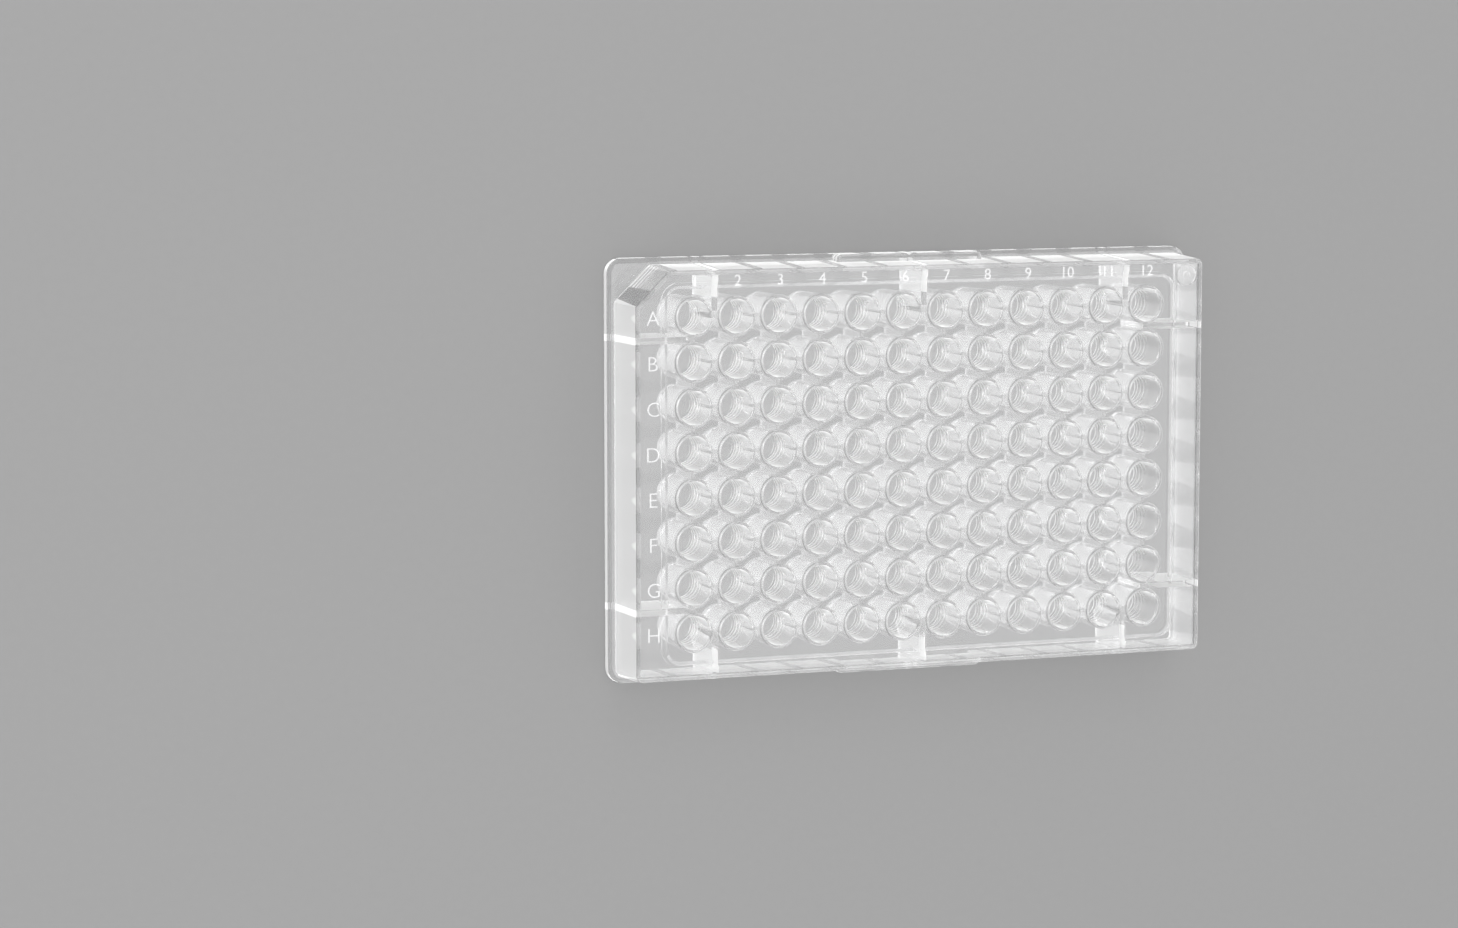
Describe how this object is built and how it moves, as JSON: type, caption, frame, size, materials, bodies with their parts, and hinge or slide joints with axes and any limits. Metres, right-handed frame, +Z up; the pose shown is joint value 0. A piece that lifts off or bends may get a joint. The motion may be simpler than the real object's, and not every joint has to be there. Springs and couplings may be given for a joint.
{
  "type": "well plate",
  "caption": "Clear flat-bottomed microplate with a grid of round wells, a recessed field, a skirted base and one bevelled corner.",
  "frame": {"origin": "middle of the base's footprint, at the underside of the skirt", "axes": "+Z up out of the wells' mouths, +X along a row from column 1 to the last column, +Y towards row A"},
  "size_m": [0.1278, 0.0854, 0.0142],
  "materials": {
    "clear_polystyrene": "clear moulded polystyrene with polished faces"
  },
  "bodies": {
    "root": {"well_plate": "clear_polystyrene"}
  },
  "joints": []
}
